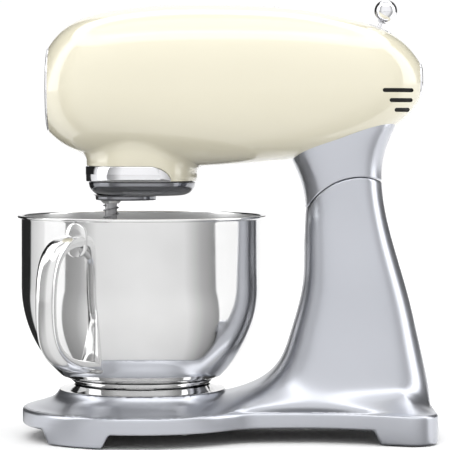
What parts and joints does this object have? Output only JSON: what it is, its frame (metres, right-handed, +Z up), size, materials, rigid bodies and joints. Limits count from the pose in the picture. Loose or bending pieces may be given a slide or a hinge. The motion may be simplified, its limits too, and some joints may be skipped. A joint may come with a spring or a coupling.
{
  "type": "stand mixer",
  "caption": "Tilt-head stand mixer with planetary tool drive, front accessory port, lift-up head, twist-lock steel bowl with handle, and a column stand on rubber feet.",
  "frame": {"origin": "point on the table surface straight below the bowl's axis", "axes": "+Z up along the bowl and planetary axis; -X is the front (bowl end), +X the rear (column)"},
  "size_m": [0.3827, 0.2614, 0.4013],
  "materials": {
    "enamel_cream": "glossy cream enamel",
    "satin_silver": "satin metallic silver paint",
    "polished_steel": "mirror polished stainless steel",
    "chrome_trim": "bright chrome",
    "dark_chrome": "polished dark chrome",
    "black_plastic": "black, fine texture",
    "grey_plastic": "moulded grey",
    "nylon_white": "natural nylon",
    "rubber_grey": "matte",
    "cast_alloy": "as cast",
    "steel_part": "machined",
    "bronze": "sintered bronze",
    "copper_wire": "enamelled copper",
    "core_steel": "laminated core",
    "board_green": "circuit board",
    "carbon": "carbon"
  },
  "bodies": {
    "stand": {"stand_casting": "satin_silver", "base_cover": "grey_plastic", "rubber_feet": "rubber_grey", "stand_screws": "steel_part", "bowl_seat_ring": "polished_steel", "bowl_lock_plate": "steel_part", "hinge_bracket": "cast_alloy", "hinge_pin": "steel_part", "latch_keeper": "steel_part", "control_board": "board_green", "cord_gland": "black_plastic"},
    "bowl": {"bowl_shell": "polished_steel", "bowl_handle": "polished_steel", "bowl_foot": "polished_steel"},
    "head": {"head_shell": "enamel_cream", "neck_cover": "satin_silver", "head_frame": "cast_alloy", "hub_band": "chrome_trim", "front_port_bezel": "chrome_trim", "vent_baffles": "black_plastic", "speed_scale_strip": "chrome_trim", "lever_guide": "grey_plastic", "ring_gear": "steel_part", "ball_bearings": "steel_part", "idler_axle": "steel_part", "motor_stator": "core_steel", "stator_windings": "copper_wire", "motor_lower_bracket": "cast_alloy", "motor_upper_bracket": "cast_alloy", "brush_holders": "black_plastic", "carbon_brushes": "carbon", "head_screws": "steel_part", "button_guide": "grey_plastic", "hinge_bushes": "bronze", "latch_pivot_pin": "steel_part"},
    "planetary": {"planet_hub": "cast_alloy", "planet_hub_cover": "dark_chrome", "planet_bushes": "bronze", "main_shaft": "steel_part", "main_gear": "steel_part", "main_bevel_gear": "steel_part"},
    "tool_drive": {"tool_shaft": "steel_part", "tool_pin": "chrome_trim", "tool_collar": "chrome_trim", "tool_spring": "steel_part", "planet_gear": "steel_part"},
    "idler": {"idler_gear": "nylon_white"},
    "rotor": {"rotor_shaft": "steel_part", "rotor_core": "core_steel", "commutator": "bronze", "cooling_fan": "black_plastic", "motor_pinion": "steel_part"},
    "port_drive": {"port_shaft": "steel_part", "port_bevel_gear": "steel_part"},
    "speed_lever": {"lever_stem": "chrome_trim", "lever_ball": "chrome_trim", "lever_shoe": "grey_plastic"},
    "button": {"release_button": "chrome_trim"},
    "latch": {"latch_hook": "steel_part"},
    "front_cap": {"front_port_cap": "chrome_trim"}
  },
  "joints": [
    {"name": "head_tilt", "type": "hinge", "parent": "stand", "child": "head", "pos_m": [0.199, 0, 0.185], "axis": [0, 1, 0], "range_deg": [0, 37]},
    {"name": "bowl_turn", "type": "hinge", "parent": "stand", "child": "bowl", "pos_m": [0, 0, 0], "axis": [0, 0, 1], "range_deg": [0, 30]},
    {"name": "planetary_spin", "type": "hinge", "parent": "head", "child": "planetary", "pos_m": [0, 0, 0.25], "axis": [0, 0, 1], "continuous": true},
    {"name": "tool_spin", "type": "hinge", "parent": "planetary", "child": "tool_drive", "pos_m": [-0.0285, 0, 0.2], "axis": [0, 0, 1], "continuous": true},
    {"name": "idler_spin", "type": "hinge", "parent": "head", "child": "idler", "pos_m": [0.056, 0, 0.28], "axis": [0, 0, 1], "continuous": true},
    {"name": "rotor_spin", "type": "hinge", "parent": "head", "child": "rotor", "pos_m": [0.104, 0, 0.33], "axis": [0, 0, 1], "continuous": true},
    {"name": "port_spin", "type": "hinge", "parent": "head", "child": "port_drive", "pos_m": [-0.05, 0, 0.319], "axis": [-1, 0, 0], "continuous": true},
    {"name": "speed_lever_swing", "type": "hinge", "parent": "head", "child": "speed_lever", "pos_m": [0.1024, 0, 0.0659], "axis": [0, 1, 0], "range_deg": [-12, 0]},
    {"name": "button_press", "type": "slide", "parent": "head", "child": "button", "axis": [-1, 0, 0], "range_m": [0, 0.004], "stiffness_N_per_m": 300},
    {"name": "latch_swing", "type": "hinge", "parent": "head", "child": "latch", "pos_m": [0.176, 0, 0.256], "axis": [0, -1, 0], "range_deg": [0, 3.6]},
    {"name": "front_cap_pull", "type": "slide", "parent": "head", "child": "front_cap", "axis": [-1, 0, 0], "range_m": [0, 0.03]}
  ],
  "couplings": [
    {"joint": "tool_spin", "follows": "planetary_spin", "ratio": -2.9},
    {"joint": "idler_spin", "follows": "planetary_spin", "ratio": -3},
    {"joint": "rotor_spin", "follows": "planetary_spin", "ratio": 10.714},
    {"joint": "port_spin", "follows": "planetary_spin", "ratio": 1},
    {"joint": "latch_swing", "follows": "button_press", "rad_per_m": 15.15}
  ]
}
